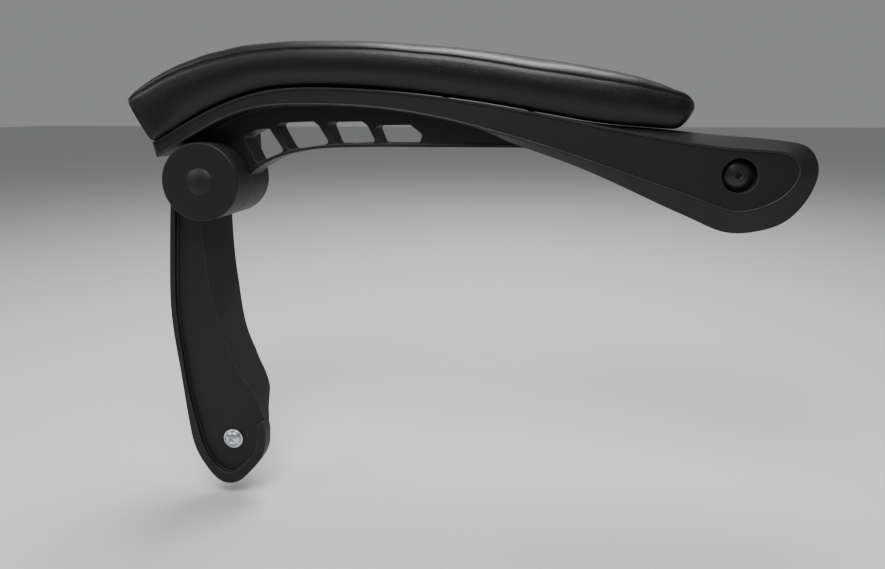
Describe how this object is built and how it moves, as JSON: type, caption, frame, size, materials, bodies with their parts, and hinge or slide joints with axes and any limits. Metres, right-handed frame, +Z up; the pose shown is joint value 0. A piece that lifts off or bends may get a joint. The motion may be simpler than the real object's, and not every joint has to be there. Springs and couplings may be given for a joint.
{
  "type": "linkage armrest",
  "caption": "Linkage armrest for a reclining office chair: a padded curved arm that turns at the backrest, with a front hub joint and a strut down to the seat frame.",
  "frame": {"origin": "on the rear pivot's axis, in the plane where the armrest meets the chair", "axes": "+X to the chair's rear along the arm, +Y inward into the chair along the pivot studs, +Z up"},
  "size_m": [0.5699, 0.08, 0.4047],
  "materials": {
    "arm_plastic": "fine moulded texture, dark charcoal",
    "cover_plastic": "fine moulded texture, dark charcoal",
    "hub_plastic": "smoother satin moulding, dark charcoal",
    "pad_leather": "black upholstery leather with a soft sheen",
    "pad_foam": "moulded open-cell foam",
    "plywood": "bent birch plywood",
    "zinc_steel": "bright zinc plate",
    "black_steel": "black oxide, slightly glossy",
    "bearing_plastic": "acetal, natural",
    "friction_liner": "friction lining",
    "black_plastic": "black moulded plastic"
  },
  "bodies": {
    "arm": {"arm_frame": "arm_plastic", "inner_cover": "cover_plastic", "cover_screws": "black_steel", "pad_cover": "pad_leather", "pad_foam": "pad_foam", "pad_board": "plywood", "pad_tee_nuts": "zinc_steel", "pad_bolts": "black_steel", "pad_washers": "zinc_steel", "hub_bush": "bearing_plastic", "hub_inner_cap": "cover_plastic", "rear_outer_bush": "bearing_plastic", "rear_inner_bush": "bearing_plastic"},
    "strut": {"strut": "arm_plastic", "hub_cover": "hub_plastic", "hub_cap": "hub_plastic", "hub_bolt": "zinc_steel", "hub_outer_washer": "zinc_steel", "hub_friction_washer": "friction_liner", "hub_inner_washer": "zinc_steel", "hub_wave_washer": "zinc_steel", "hub_nut": "zinc_steel", "foot_bush": "bearing_plastic"},
    "rear_pivot_bolt": {"rear_bolt": "black_steel", "rear_sleeve": "zinc_steel", "rear_spacer": "black_plastic"},
    "foot_pivot_bolt": {"foot_bolt": "zinc_steel", "foot_washer": "zinc_steel", "foot_sleeve": "zinc_steel", "foot_spacer": "black_plastic"}
  },
  "joints": [
    {"name": "front_hub", "type": "hinge", "parent": "arm", "child": "strut", "pos_m": [-0.448, -0.03, -0.009], "axis": [0, 1, 0], "range_deg": [-8, 55]},
    {"name": "rear_pivot", "type": "hinge", "parent": "arm", "child": "rear_pivot_bolt", "pos_m": [0, 0, 0], "axis": [0, 1, 0], "range_deg": [-5, 60]},
    {"name": "foot_pivot", "type": "hinge", "parent": "strut", "child": "foot_pivot_bolt", "pos_m": [-0.4415, 0, -0.2505], "axis": [0, 1, 0], "range_deg": [-60, 8]}
  ]
}
